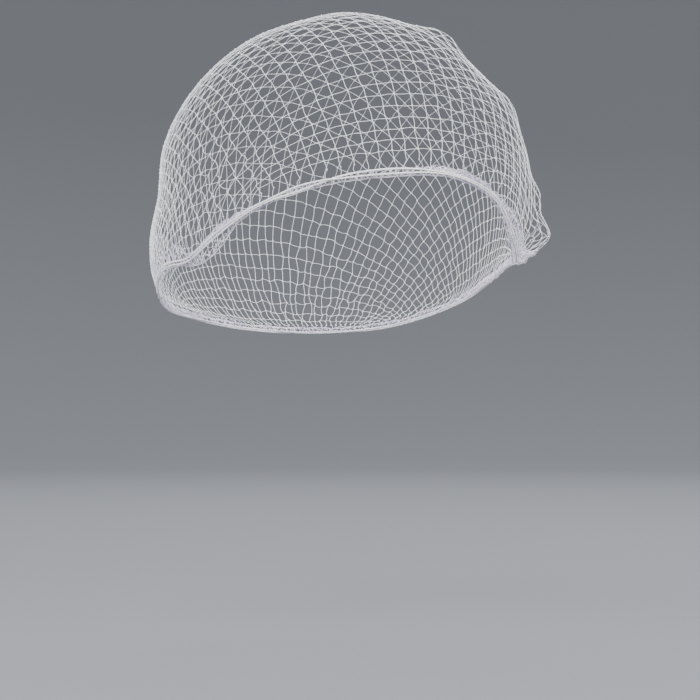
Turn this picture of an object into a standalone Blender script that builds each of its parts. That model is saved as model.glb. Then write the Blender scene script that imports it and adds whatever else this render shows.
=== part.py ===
"""A mesh hairnet in the form that it has when worn: one layer of net, bunched onto a whole elastic loop.

The script works in metres with +Z up. The origin is the inside of the net at the top of the crown. The
front edge faces -Y, and +X is the side that is on the right when seen from the front.

Every piece follows one closed form, given by its distance from a centre inside the head hollow. A
direction from that centre is a plan angle, 0 at the front and positive towards +X, and a tilt, which is
0 straight up and 90 degrees at the centre's own height.
"""

import functools
import math

import bmesh
import bpy
from mathutils import Vector

MM = 0.001

# The crown's height above the form's centre, in millimetres like every length below.
CROWN_HEIGHT = 86.8

# Distance from the form's centre to the net on its four sides, at each tilt in degrees.
FORM_ROWS = (
    # tilt, left, front, right, back
    (0, 86.8, 86.8, 86.8, 86.8),
    (15, 85.2, 87.6, 86.4, 89.5),
    (30, 86.2, 89.6, 86.3, 93.5),
    (45, 86.6, 91.0, 86.6, 99.0),
    (60, 87.4, 90.5, 88.8, 104.0),
    (75, 88.2, 89.0, 89.8, 107.0),
    (90, 87.6, 91.0, 90.0, 108.0),
    (105, 95.0, 93.0, 91.5, 107.0),
    (120, 101.0, 95.0, 94.0, 103.0),
    (135, 101.0, 96.0, 95.0, 99.0),
)

# Rounded lumps and dents that the net is stretched over.
LUMP_ROWS = (
    # plan angle, tilt, height, spread in degrees
    (80, 32, 5.5, 6.0),
    (80, 61, 3.0, 5.0),
    (80, 102, 9.5, 6.0),
)

# The edge loop: how far it lies below the crown, the net bunched above and below it, and how far the
# elastic draws the net in.
EDGE_ROWS = (
    # plan angle, height below crown, bunched above, bunched below, drawn in
    (-180, 150, 4, 3, 5),
    (-150, 148, 4, 3, 5),
    (-125, 143, 5, 3, 4),
    (-105, 138, 7, 3, 3),
    (-90, 128, 12, 3, 3),
    (-75, 121, 14, 3, 2),
    (-63, 118.5, 9, 5, 2),
    (-50, 107.5, 5, 7, 1),
    (-36, 95.5, 4, 5, 0),
    (-18, 85.5, 4, 3, 0),
    (0, 81, 4, 3, 0),
    (18, 81, 5, 2.5, 1),
    (34, 86.5, 5, 2.5, 4),
    (45, 94, 6, 2.5, 6),
    (56, 108.5, 9, 3, 5),
    (68, 115.5, 9, 3, 6),
    (85, 117, 9, 3, 7),
    (105, 126, 11, 3, 6),
    (122, 136, 7, 3, 5),
    (150, 147, 4, 3, 5),
)
# How many times the edge's tilt is worked out again from the form's distance at the last one.
EDGE_TILT_ROUNDS = 6
# How far up the net the elastic draws it in, and the tilt above which it no longer does.
DRAW_IN_REACH = 8.0
DRAWN_IN_BELOW = 60.0

# The plan angles at which the two side gathers start and end. The hems fill the edge between them.
LEFT_GATHER = (-94.0, -60.0)
RIGHT_GATHER = (94.0, 124.0)

NET_THICKNESS = 1.2
PIECE_GAP = 1.0

# The crown's net: its bars run from side to side in rows and from front to nape in columns.
BAR_WIDTH = 5.2
NET_COLUMNS = 10
NET_ROWS = 15
# How much closer the rows are set at the nape, and the columns over the crown, where the form would
# spread them.
NAPE_CLOSING = 0.1
CROWN_CLOSING = 0.15
# Towards the side gathers the rows merge: the number of rows that make one gap, by column from the side.
MERGED_ROWS = (4, 2)
# The straight stretches that a bar is made of between two bars that cross it.
COLUMN_STEPS = 3
ROW_STEPS = 2
# The widest share of a row's spacing that a bar may take on each side where the rows close up.
MOST_BAR_SHARE = 0.22

# The bunched edge in section, from its lower rim up. The elastic pinches a strip of it flat.
PINCH_HALF_WIDTH = 2.0
HEM_SECTION = (
    # side of the elastic, share of the width on that side, share of the pleats' height
    (-1, 1.0, 1.0),
    (-1, 0.0, 0.0),
    (1, 0.0, 0.0),
    (1, 1.0, 0.5),
)
GATHER_SECTION = (
    (-1, 1.0, 1.0),
    (-1, 0.0, 0.0),
    (1, 0.0, 0.0),
    (1, 0.35, 1.0),
    (1, 1.0, 0.3),
)
HEM_PLEAT = 13.0
HEM_PLEAT_HEIGHT = 1.6
GATHER_PLEAT = 5.5
GATHER_PLEAT_HEIGHT = 1.9
STEPS_PER_PLEAT = 4

ELASTIC_DIAMETER = 1.8
ELASTIC_GAP = 0.55
ELASTIC_POINTS = 80

SHARP_ANGLE = 40.0


def table_value(rows, at, column, period=None):
    """Reads a column of a table at any place, along a smooth curve through the rows."""
    if period:
        at = (at - rows[0][0]) % period + rows[0][0]
        before, after = rows[-1], rows[0]
        rows = ((before[0] - period, *before[1:]), *rows, (after[0] + period, *after[1:]),
                (rows[1][0] + period, *rows[1][1:]))
        first = 1
    else:
        at = min(max(at, rows[0][0]), rows[-1][0])
        first = 0
    last = len(rows) - 2
    k = next(i for i in range(first, last + 1) if at <= rows[i + 1][0] or i == last)

    def slope(i):
        low, high = max(i - 1, 0), min(i + 1, len(rows) - 1)
        if not period and i in (0, len(rows) - 1):
            return 0.0
        return (rows[high][column] - rows[low][column]) / (rows[high][0] - rows[low][0])

    x0, x1 = rows[k][0], rows[k + 1][0]
    y0, y1 = rows[k][column], rows[k + 1][column]
    span = x1 - x0
    t = (at - x0) / span
    return (
        y0 * (1 + 2 * t) * (1 - t) ** 2
        + slope(k) * span * t * (1 - t) ** 2
        + y1 * t * t * (3 - 2 * t)
        + slope(k + 1) * span * t * t * (t - 1)
    )


def direction(plan, tilt):
    """The unit vector of a plan angle and a tilt, both in degrees."""
    a, b = math.radians(plan), math.radians(tilt)
    return Vector((math.sin(b) * math.sin(a), -math.sin(b) * math.cos(a), math.cos(b)))


def form_radius(plan, tilt):
    """Distance from the form's centre to the net before the elastic draws it in."""
    side = table_value(FORM_ROWS, tilt, 3 if math.sin(math.radians(plan)) > 0 else 1)
    end = table_value(FORM_ROWS, tilt, 2 if math.cos(math.radians(plan)) > 0 else 4)
    across = math.sin(math.radians(plan)) / side
    along = math.cos(math.radians(plan)) / end
    radius = 1 / math.hypot(across, along)
    heading = direction(plan, tilt)
    for lump_plan, lump_tilt, height, spread in LUMP_ROWS:
        away = math.degrees(heading.angle(direction(lump_plan, lump_tilt), 0.0))
        radius += height * math.exp(-((away / spread) ** 2) / 2)
    return radius


def edge_value(plan, column):
    """A column of EDGE_ROWS at any plan angle."""
    return table_value(EDGE_ROWS, plan, column, period=360)


@functools.lru_cache(maxsize=None)
def edge_tilt(plan):
    """The tilt at which the form is as far below the crown as the elastic is."""
    fall = edge_value(plan, 1) - CROWN_HEIGHT
    tilt = 90.0
    for _ in range(EDGE_TILT_ROUNDS):
        radius = form_radius(plan, tilt) - edge_value(plan, 4)
        tilt = 90 + math.degrees(math.asin(fall / radius))
    return tilt


def net_point(plan, tilt):
    """The point of the net's inner face in a direction, in metres."""
    radius = form_radius(plan, tilt)
    if tilt > DRAWN_IN_BELOW:
        above_edge = max(0.0, math.radians(edge_tilt(plan) - tilt) * radius)
        radius -= edge_value(plan, 4) * math.exp(-((above_edge / DRAW_IN_REACH) ** 2))
    return (Vector((0, 0, -CROWN_HEIGHT)) + direction(plan, tilt) * radius) * MM


def lifted_point(plan, tilt, lift):
    """A point off the net's inner face, lifted outwards along the face's normal."""
    step = 0.5
    sideways = net_point(plan + step, tilt) - net_point(plan - step, tilt)
    upwards = net_point(plan, tilt - step) - net_point(plan, tilt + step)
    return net_point(plan, tilt) + sideways.cross(upwards).normalized() * lift * MM


@functools.lru_cache(maxsize=None)
def edge_slant(plan):
    """How much longer a width across the slanting edge is when it is measured straight up the form."""
    step = 1.0
    rise = edge_tilt(plan + step) - edge_tilt(plan - step)
    return math.hypot(1, rise / (2 * step * math.sin(math.radians(edge_tilt(plan)))))


@functools.lru_cache(maxsize=None)
def border_tilt(plan):
    """The tilt at which the crown's net ends and the bunched edge begins."""
    radius = form_radius(plan, edge_tilt(plan))
    width = (edge_value(plan, 2) + PIECE_GAP) * edge_slant(plan)
    return edge_tilt(plan) - math.degrees(width / radius)


def border_flat(plan):
    """The border as a point of the flat map, where the distance from the middle is the tilt."""
    tilt = border_tilt(plan)
    return Vector((tilt * math.sin(math.radians(plan)), -tilt * math.cos(math.radians(plan))))


def blend(low, high, share):
    return low + (high - low) * share


def crown_point(u, v):
    """The crown's net as a sheet: u runs from the left gather to the right, and v from front to nape."""
    v += NAPE_CLOSING * v * (1 - v)
    from_middle = 2 * u - 1
    u -= CROWN_CLOSING * from_middle * (1 - from_middle**2) / 2
    left_back, left_front = LEFT_GATHER
    right_front, right_back = RIGHT_GATHER
    front = border_flat(blend(left_front, right_front, u))
    nape = border_flat(blend(left_back + 360, right_back, u))
    left = border_flat(blend(left_front, left_back, v))
    right = border_flat(blend(right_front, right_back, v))
    ends = blend(
        blend(border_flat(left_front), border_flat(right_front), u),
        blend(border_flat(left_back), border_flat(right_back), u),
        v,
    )
    flat = blend(front, nape, v) + blend(left, right, u) - ends
    return net_point(math.degrees(math.atan2(flat.x, -flat.y)), flat.length)


def bar_lines(count, steps):
    """The lines across a sheet of bars: each as its bar's place and the side of the bar that it is on."""
    lines = []
    for bar in range(count + 1):
        place = bar / count
        if bar == 0:
            lines += [(place, 0), (place, 2)]
        elif bar == count:
            lines += [(place, -2), (place, 0)]
        else:
            lines += [(place, -1), (place, 1)]
        if bar < count:
            lines += [((bar + step / steps) / count, 0) for step in range(1, steps)]
    return lines


def row_bar_reaches(row, column):
    """Whether a side-to-side bar is kept in a column, or merged away near the side gathers."""
    from_side = min(column, NET_COLUMNS - 1 - column)
    if from_side >= len(MERGED_ROWS) or row == NET_ROWS:
        return True
    return row % MERGED_ROWS[from_side] == 0


def grid_sheet(name, columns, rows, place):
    """A grid as a new mesh and its bmesh, with each vertex moved to where place(column, row) puts it."""
    mesh = bpy.data.meshes.new(name)
    bm = bmesh.new()
    bmesh.ops.create_grid(bm, x_segments=columns, y_segments=rows, size=1)
    for vert in bm.verts:
        column = round((vert.co.x + 1) / 2 * columns)
        row = round((vert.co.y + 1) / 2 * rows)
        vert.co = place(column, row)
    return mesh, bm


def finish_sheet(mesh, bm, material, collection):
    """Turns an open sheet into a wall of the net's thickness, on its outer side."""
    bmesh.ops.recalc_face_normals(bm, faces=bm.faces)
    bm.to_mesh(mesh)
    bm.free()
    mesh.shade_smooth()
    mesh.set_sharp_from_angle(angle=math.radians(SHARP_ANGLE))
    mesh.materials.append(material)
    obj = bpy.data.objects.new(mesh.name, mesh)
    collection.objects.link(obj)
    wall = obj.modifiers.new("wall", "SOLIDIFY")
    wall.thickness = NET_THICKNESS * MM
    wall.offset = 1
    return obj


def make_net_crown(material, collection):
    columns = bar_lines(NET_COLUMNS, COLUMN_STEPS)
    rows = bar_lines(NET_ROWS, ROW_STEPS)
    reach = 0.01

    def place(column, row):
        (u, u_side), (v, v_side) = columns[column], rows[row]
        across = crown_point(min(u + reach, 1), v) - crown_point(max(u - reach, 0), v)
        along = crown_point(u, min(v + reach, 1)) - crown_point(u, max(v - reach, 0))
        half = BAR_WIDTH * MM / 2
        u_width = half * (min(u + reach, 1) - max(u - reach, 0)) / across.length
        v_width = half * (min(v + reach, 1) - max(v - reach, 0)) / along.length
        u_width = min(u_width, MOST_BAR_SHARE / NET_COLUMNS)
        v_width = min(v_width, MOST_BAR_SHARE / NET_ROWS)
        return crown_point(u + u_side * u_width, v + v_side * v_width)

    mesh, bm = grid_sheet("net_crown", len(columns) - 1, len(rows) - 1, place)
    bm.faces.ensure_lookup_table()
    holes = []
    for face in bm.faces:
        step = face.index % (len(columns) - 1), face.index // (len(columns) - 1)
        column, in_column = divmod(step[0], COLUMN_STEPS + 1)
        row, in_row = divmod(step[1], ROW_STEPS + 1)
        in_column_bar = in_column == 0
        in_row_bar = in_row == 0 and row_bar_reaches(row, min(column, NET_COLUMNS - 1))
        if not in_column_bar and not in_row_bar:
            holes.append(face)
    bmesh.ops.delete(bm, geom=holes, context="FACES")
    return finish_sheet(mesh, bm, material, collection)


def make_edge_piece(name, start, end, section, pleat, pleat_height, material, collection):
    """A stretch of the net's edge, bunched into pleats that the elastic pinches flat."""
    middle = (start + end) / 2
    radius = form_radius(middle, edge_tilt(middle))
    length = math.radians(end - start) * radius
    pleats = round(length / pleat)
    trim = math.degrees(PIECE_GAP / 2 / radius)
    columns = pleats * STEPS_PER_PLEAT

    def place(column, row):
        plan = blend(start + trim, end - trim, column / columns)
        side, share, height = section[row]
        width = edge_value(plan, 2 if side > 0 else 3)
        offset = side * blend(PINCH_HALF_WIDTH, width, share) * edge_slant(plan)
        tilt = edge_tilt(plan) - math.degrees(offset / form_radius(plan, edge_tilt(plan)))
        wave = (1 + math.cos(math.tau * column / STEPS_PER_PLEAT)) / 2
        return lifted_point(plan, tilt, pleat_height * height * wave)

    mesh, bm = grid_sheet(name, columns, len(section) - 1, place)
    return finish_sheet(mesh, bm, material, collection)


def make_edge_elastic(material, collection):
    """The elastic: a whole loop that lies on the outer side of the bunched edge."""
    curve = bpy.data.curves.new("edge_elastic", "CURVE")
    curve.dimensions = "3D"
    curve.bevel_depth = ELASTIC_DIAMETER / 2 * MM
    curve.bevel_resolution = 2
    curve.materials.append(material)
    spline = curve.splines.new("POLY")
    spline.points.add(ELASTIC_POINTS - 1)
    lift = NET_THICKNESS + ELASTIC_GAP + ELASTIC_DIAMETER / 2
    for k, point in enumerate(spline.points):
        plan = 360 * k / ELASTIC_POINTS
        point.co = (*lifted_point(plan, edge_tilt(plan), lift), 1)
    spline.use_cyclic_u = True
    obj = bpy.data.objects.new("edge_elastic", curve)
    collection.objects.link(obj)
    return obj


def make_material(name, colour, roughness):
    material = bpy.data.materials.new(name)
    material.use_nodes = True
    shader = material.node_tree.nodes["Principled BSDF"]
    shader.inputs["Base Color"].default_value = (*colour, 1)
    shader.inputs["Roughness"].default_value = roughness
    shader.inputs["Metallic"].default_value = 0
    material.diffuse_color = (*colour, 1)
    return material


def main():
    for obj in list(bpy.data.objects):
        bpy.data.objects.remove(obj)
    collection = bpy.data.collections.new("hairnet")
    bpy.context.scene.collection.children.link(collection)

    net = make_material("nylon_net", (0.86, 0.86, 0.89), 0.45)
    bunched = make_material("bunched_nylon_net", (0.84, 0.82, 0.88), 0.5)
    elastic = make_material("elastic_thread", (0.90, 0.90, 0.91), 0.6)

    make_net_crown(net, collection)
    left_back, left_front = LEFT_GATHER
    right_front, right_back = RIGHT_GATHER
    edge_pieces = (
        # name, start, end, section, pleat length, pleat height
        ("front_hem", left_front, right_front, HEM_SECTION, HEM_PLEAT, HEM_PLEAT_HEIGHT),
        ("right_gather", right_front, right_back, GATHER_SECTION, GATHER_PLEAT, GATHER_PLEAT_HEIGHT),
        ("nape_hem", right_back, left_back + 360, HEM_SECTION, HEM_PLEAT, HEM_PLEAT_HEIGHT),
        ("left_gather", left_back, left_front, GATHER_SECTION, GATHER_PLEAT, GATHER_PLEAT_HEIGHT),
    )
    for name, *shape in edge_pieces:
        make_edge_piece(name, *shape, bunched, collection)
    make_edge_elastic(elastic, collection)


if __name__ == "__main__":
    main()
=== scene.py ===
"""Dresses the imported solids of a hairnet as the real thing: knotted nylon net bunched on elastic threads.

Lengths are in millimetres until a mesh is made, and angles are in degrees. Every thread follows the form
that the net has when worn. A direction from that form's centre is a plan angle, 0 at the front and
positive towards +X, and a tilt, which is 0 straight up and 90 at the centre's own height.
"""

from __future__ import annotations

import functools
import logging
import math
from dataclasses import dataclass
from enum import Enum
from typing import Sequence

import bmesh
import bpy
import numpy as np
from mathutils import Matrix, Vector


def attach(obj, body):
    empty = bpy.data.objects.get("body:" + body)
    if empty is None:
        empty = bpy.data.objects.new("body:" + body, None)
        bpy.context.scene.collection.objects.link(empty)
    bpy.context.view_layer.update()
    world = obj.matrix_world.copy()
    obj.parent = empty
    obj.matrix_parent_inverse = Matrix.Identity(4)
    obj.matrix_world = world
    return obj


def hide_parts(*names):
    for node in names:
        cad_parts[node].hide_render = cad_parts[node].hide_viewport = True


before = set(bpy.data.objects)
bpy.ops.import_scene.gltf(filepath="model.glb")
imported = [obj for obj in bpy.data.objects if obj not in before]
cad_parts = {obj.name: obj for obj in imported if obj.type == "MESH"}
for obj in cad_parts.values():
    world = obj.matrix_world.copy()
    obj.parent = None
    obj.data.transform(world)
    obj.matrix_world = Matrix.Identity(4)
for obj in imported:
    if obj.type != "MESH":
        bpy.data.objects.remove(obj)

LOG = logging.getLogger("hairnet")
MM = 0.001
BODY = "root"
# About how long a degree is on the form near its edge.
MM_EACH_DEGREE = 1.5
# A vector shorter than this has no direction.
SHORTEST = 1e-9

Array = np.ndarray
Table = tuple[tuple[float, ...], ...]
# The lowest value, the highest one, and about how far it takes to swing from one to the other and back.
Course = tuple[float, float, float]


@dataclass(frozen=True)
class SmoothTable:
    """A table of named columns, read anywhere along smooth curves through its rows."""

    columns: tuple[str, ...]
    rows: Table
    period: float = 0.0

    @functools.cached_property
    def knots(self) -> Array:
        """The rows, with two more at each end where the table goes round.

        Returns:
            One row for each place, which comes first in it.
        """
        table = np.array(self.rows, float)
        if self.period:
            turn = np.zeros(table.shape[1])
            turn[0] = self.period
            table = np.vstack([table[-2:] - turn, table, table[:2] + turn])
        return table

    @functools.cached_property
    def slopes(self) -> Array:
        """Each column's slope at each row, level at the two ends.

        Returns:
            One row for each of the knots, without the place.
        """
        rise = self.knots[2:, 1:] - self.knots[:-2, 1:]
        run = self.knots[2:, :1] - self.knots[:-2, :1]
        level = np.zeros((1, rise.shape[1]))
        return np.vstack([level, rise / run, level])

    def read(self, place: Array | float, column: str) -> Array:
        """Reads one column.

        Args:
            place: Where to read, in the units of the table's first column.
            column: The column's name.

        Returns:
            The column's value at each place.
        """
        k = self.columns.index(column)
        places, values, slopes = self.knots[:, 0], self.knots[:, k + 1], self.slopes[:, k]
        at = np.asarray(place, float)
        if self.period:
            at = (at - self.rows[0][0]) % self.period + self.rows[0][0]
        at = np.clip(at, places[0], places[-1])
        low = np.clip(np.searchsorted(places, at) - 1, 0, len(places) - 2)
        span = places[low + 1] - places[low]
        t = (at - places[low]) / span
        return (
            values[low] * (1 + 2 * t) * (1 - t) ** 2
            + slopes[low] * span * t * (1 - t) ** 2
            + values[low + 1] * t * t * (3 - 2 * t)
            + slopes[low + 1] * span * t * t * (t - 1)
        )


def unit(vectors: Array) -> Array:
    """Scales each vector to a length of one."""
    return vectors / np.maximum(np.linalg.norm(vectors, axis=-1, keepdims=True), SHORTEST)


def mix(low: Array | float, high: Array | float, share: Array | float) -> Array | float:
    """The value a share of the way from low to high."""
    return low + (high - low) * share


@dataclass(frozen=True)
class WornForm:
    """The closed form that the net is stretched over, as the solids have it.

    The solids have its small puff as one round swelling. Here the last four lumps give it finer relief.
    """

    crown_height: float = 86.8
    sides: SmoothTable = SmoothTable(
        ("left", "front", "right", "back"),
        (
            # tilt, left, front, right, back
            (0, 86.8, 86.8, 86.8, 86.8),
            (15, 85.2, 87.6, 86.4, 89.5),
            (30, 86.2, 89.6, 86.3, 93.5),
            (45, 86.6, 91.0, 86.6, 99.0),
            (60, 87.4, 90.5, 88.8, 104.0),
            (75, 88.2, 89.0, 89.8, 107.0),
            (90, 87.6, 91.0, 90.0, 108.0),
            (105, 95.0, 93.0, 91.5, 107.0),
            (120, 101.0, 95.0, 94.0, 103.0),
            (135, 101.0, 96.0, 95.0, 99.0),
        ),
    )
    # Rounded lumps: plan angle, tilt, height, spread in degrees.
    lumps: Table = (
        (80, 32, 5.5, 6.0),
        (80, 61, 3.0, 5.0),
        (80, 90.5, 4.6, 3.6),
        (76, 100.5, 8.0, 3.6),
        (84, 100.5, 8.0, 3.6),
        (80, 108, 5.0, 4.2),
    )
    edge: SmoothTable = SmoothTable(
        ("drop", "above", "below", "drawn_in"),
        (
            # plan angle, drop below the crown, bunched above, bunched below, drawn in
            (-180, 150, 4, 3, 5),
            (-150, 148, 4, 3, 5),
            (-125, 143, 5, 3, 4),
            (-105, 138, 7, 3, 3),
            (-90, 128, 12, 3, 3),
            (-75, 121, 14, 3, 2),
            (-63, 118.5, 9, 5, 2),
            (-50, 107.5, 5, 7, 1),
            (-36, 95.5, 4, 5, 0),
            (-18, 85.5, 4, 3, 0),
            (0, 81, 4, 3, 0),
            (18, 81, 5, 2.5, 1),
            (34, 86.5, 5, 2.5, 4),
            (45, 94, 6, 2.5, 6),
            (56, 108.5, 9, 3, 5),
            (68, 115.5, 9, 3, 6),
            (85, 117, 9, 3, 7),
            (105, 126, 11, 3, 6),
            (122, 136, 7, 3, 5),
            (150, 147, 4, 3, 5),
        ),
        period=360.0,
    )
    # How far up the net the elastic draws it in, and the tilt above which it no longer does.
    draw_in_reach: float = 8.0
    drawn_in_below: float = 60.0
    # How many times the edge's tilt is worked out again, and at how many places.
    edge_rounds: int = 6
    edge_places: int = 721
    # Where the two side gathers start and end, and the gap between the open net and the bunched edge.
    left_gather: tuple[float, float] = (-94.0, -60.0)
    right_gather: tuple[float, float] = (94.0, 124.0)
    piece_gap: float = 1.0
    # The half steps over which a slant and a normal are measured.
    slant_step: float = 1.0
    normal_step: float = 0.5

    def directions(self, plan: Array, tilt: Array) -> Array:
        """Unit vectors for plan angles and tilts."""
        a, b = np.radians(plan), np.radians(tilt)
        return np.stack([np.sin(b) * np.sin(a), -np.sin(b) * np.cos(a), np.cos(b)], axis=-1)

    def radius(self, plan: Array, tilt: Array) -> Array:
        """Distance from the centre to the net before the elastic draws it in.

        Args:
            plan: Plan angles.
            tilt: Tilts.

        Returns:
            The distance in each direction.
        """
        right = np.sin(np.radians(plan)) > 0
        front = np.cos(np.radians(plan)) > 0
        side = np.where(right, self.sides.read(tilt, "right"), self.sides.read(tilt, "left"))
        end = np.where(front, self.sides.read(tilt, "front"), self.sides.read(tilt, "back"))
        radius = 1 / np.hypot(np.sin(np.radians(plan)) / side, np.cos(np.radians(plan)) / end)
        heading = self.directions(plan, tilt)
        for lump_plan, lump_tilt, height, spread in self.lumps:
            towards = self.directions(np.array(lump_plan), np.array(lump_tilt))
            away = np.degrees(np.arccos(np.clip(heading @ towards, -1, 1)))
            radius = radius + height * np.exp(-((away / spread) ** 2) / 2)
        return radius

    @functools.cached_property
    def edge_tilts(self) -> tuple[Array, Array]:
        """The run of the elastic.

        Returns:
            Plan angles all the way round, and the elastic's tilt at each.
        """
        plan = np.linspace(-180, 180, self.edge_places)
        fall = self.edge.read(plan, "drop") - self.crown_height
        tilt = np.full(plan.shape, 90.0)
        for _ in range(self.edge_rounds):
            radius = self.radius(plan, tilt) - self.edge.read(plan, "drawn_in")
            tilt = 90 + np.degrees(np.arcsin(fall / radius))
        return plan, tilt

    def edge_tilt(self, plan: Array) -> Array:
        """The tilt of the elastic at each plan angle."""
        return np.interp((np.asarray(plan) + 180) % 360 - 180, *self.edge_tilts)

    def edge_slant(self, plan: Array) -> Array:
        """How much longer a width across the slanting edge is when measured straight up the form.

        Args:
            plan: Plan angles.

        Returns:
            The straight length of a width of one at each.
        """
        step = self.slant_step
        rise = self.edge_tilt(plan + step) - self.edge_tilt(plan - step)
        return np.hypot(1, rise / (2 * step * np.sin(np.radians(self.edge_tilt(plan)))))

    def off_edge(self, plan: Array, width: Array | float) -> Array:
        """The tilt at a width from the elastic, positive towards the crown."""
        edge = self.edge_tilt(plan)
        return edge - np.degrees(width * self.edge_slant(plan) / self.radius(plan, edge))

    def border_tilt(self, plan: Array) -> Array:
        """The tilt at which the open net ends and the bunched edge begins."""
        return self.off_edge(plan, self.edge.read(plan, "above") + self.piece_gap)

    @property
    def centre(self) -> Array:
        """The form's centre."""
        return np.array((0, 0, -self.crown_height))

    def inner_point(self, plan: Array, tilt: Array) -> Array:
        """Points of the net's inner face.

        Args:
            plan: Plan angles.
            tilt: Tilts.

        Returns:
            The point in each direction.
        """
        radius = self.radius(plan, tilt)
        above = np.maximum(0, np.radians(self.edge_tilt(plan) - tilt) * radius)
        drawn = self.edge.read(plan, "drawn_in") * np.exp(-((above / self.draw_in_reach) ** 2))
        radius = radius - np.where(tilt > self.drawn_in_below, drawn, 0)
        return self.centre + self.directions(plan, tilt) * radius[..., None]

    def normal(self, plan: Array, tilt: Array) -> Array:
        """The outward normal of the form.

        Args:
            plan: Plan angles.
            tilt: Tilts.

        Returns:
            The normal in each direction.
        """
        step = self.normal_step
        sideways = self.inner_point(plan + step, tilt) - self.inner_point(plan - step, tilt)
        upwards = self.inner_point(plan, tilt - step) - self.inner_point(plan, tilt + step)
        near_crown = (np.asarray(tilt) < 2 * step)[..., None]
        return np.where(near_crown, self.directions(plan, tilt), unit(np.cross(sideways, upwards)))

    def point(self, plan: Array, tilt: Array, lift: Array | float = 0.0) -> Array:
        """Points lifted off the net's inner face along its normal."""
        plan, tilt, lift = np.broadcast_arrays(*(np.asarray(x, float) for x in (plan, tilt, lift)))
        return self.inner_point(plan, tilt) + self.normal(plan, tilt) * lift[..., None]

    def laid_on(self, points: Array, lift: float) -> Array:
        """Moves points straight in or out to the form, so that a thread follows its lumps and dents.

        Args:
            points: The points.
            lift: How far off the net's inner face they end.

        Returns:
            The moved points.
        """
        reach = points - self.centre
        distance = np.linalg.norm(reach, axis=-1)
        plan = np.degrees(np.arctan2(reach[..., 0], -reach[..., 1]))
        tilt = np.degrees(np.arccos(reach[..., 2] / distance))
        surface = np.linalg.norm(self.inner_point(plan, tilt) - self.centre, axis=-1) + lift
        return self.centre + reach * (surface / distance)[..., None]

    def flat_border(self, plan: Array) -> Array:
        """The border in a flat map, where the distance from the middle is the tilt."""
        tilt = self.border_tilt(plan)
        return np.stack([tilt * np.sin(np.radians(plan)), -tilt * np.cos(np.radians(plan))], axis=-1)

    def along_edge(self, start: float, end: float, step: float) -> tuple[Array, Array]:
        """Evenly spaced places along the elastic.

        Args:
            start: The plan angle at which to start.
            end: The plan angle at which to end.
            step: The spacing.

        Returns:
            The plan angle and the run along the elastic at each place.
        """
        fine_places, fewest_places = 900, 8
        fine = np.linspace(start, end, fine_places)
        run = run_along(self.point(fine, self.edge_tilt(fine)))
        at = np.linspace(0, run[-1], max(fewest_places, round(run[-1] / step)))
        return np.interp(at, run, fine), at


def run_along(line: Array) -> Array:
    """The length run along a line of points, at each of them."""
    return np.concatenate([[0], np.cumsum(np.linalg.norm(np.diff(line, axis=0), axis=1))])


def wander(rng: np.random.Generator, run: Array, course: Course) -> Array:
    """A smooth random course between two values.

    Args:
        rng: Where the random numbers come from.
        run: The length run at each place.
        course: The course's lowest and highest values, and its swing.

    Returns:
        The value at each place.
    """
    low, high, swing = course
    heights_each_swing, fewest_heights = 2, 4
    count = int(run[-1] / swing * heights_each_swing) + fewest_heights
    heights = SmoothTable(
        ("value",), tuple(zip(np.linspace(0, run[-1], count), rng.uniform(low, high, count)))
    )
    return heights.read(run, "value")


FORM = WornForm()


@dataclass
class Thread:
    """One thread as a centre line with a radius at each point."""

    points: Array
    radii: Array
    closed: bool = False

    @property
    def length(self) -> float:
        """The thread's length along its points."""
        points = np.vstack([self.points, self.points[:1]]) if self.closed else self.points
        return float(np.linalg.norm(np.diff(points, axis=0), axis=1).sum())


def thread_object(name: str, threads: Sequence[Thread], sides: int = 6) -> bpy.types.Object:
    """Makes threads into one mesh of tubes with closed ends.

    Args:
        name: The new object's name.
        threads: The threads, in millimetres.
        sides: How many sides each tube has, 4, 6 or 8.

    Returns:
        A mesh object whose UV map runs once round each thread in U, and in V is its length in metres.
    """
    curve = bpy.data.curves.new(name, "CURVE")
    curve.dimensions = "3D"
    curve.bevel_depth = MM
    curve.bevel_resolution = sides // 2 - 2
    curve.use_fill_caps = True
    for thread in threads:
        spline = curve.splines.new("POLY")
        spline.points.add(len(thread.points) - 1)
        places = np.column_stack([thread.points * MM, np.ones(len(thread.points))])
        spline.points.foreach_set("co", places.astype(np.float32).ravel())
        spline.points.foreach_set("radius", thread.radii.astype(np.float32))
        spline.use_cyclic_u = thread.closed
    tube = bpy.data.objects.new(name, curve)
    bpy.context.scene.collection.objects.link(tube)
    seen = tube.evaluated_get(bpy.context.evaluated_depsgraph_get())
    mesh = bpy.data.meshes.new_from_object(seen)
    bpy.data.objects.remove(tube)
    bpy.data.curves.remove(curve)
    scale_uvs_to_length(mesh, threads, sides)
    weld_distance = 1e-6
    bm = bmesh.new()
    bm.from_mesh(mesh)
    bmesh.ops.remove_doubles(bm, verts=bm.verts, dist=weld_distance)
    bm.to_mesh(mesh)
    bm.free()
    mesh.name = name
    mesh.shade_smooth()
    obj = bpy.data.objects.new(name, mesh)
    bpy.context.scene.collection.objects.link(obj)
    return obj


def scale_uvs_to_length(mesh: bpy.types.Mesh, threads: Sequence[Thread], sides: int) -> None:
    """Turns V from a share of each thread into metres. The caps come first in the mesh, then the tubes.

    Args:
        mesh: The threads' mesh.
        threads: The threads, in the mesh's order.
        sides: How many sides each tube has.
    """
    uvs = np.zeros(len(mesh.loops) * 2, np.float32)
    layer = mesh.uv_layers[0].data
    layer.foreach_get("uv", uvs)
    uvs = uvs.reshape(-1, 2)
    corners_each_face = 4
    corners = [(len(t.points) - 1 + t.closed) * sides * corners_each_face for t in threads]
    lengths = np.repeat([t.length * MM for t in threads], corners)
    uvs[len(uvs) - len(lengths) :, 1] *= lengths
    layer.foreach_set("uv", uvs.ravel())


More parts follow.
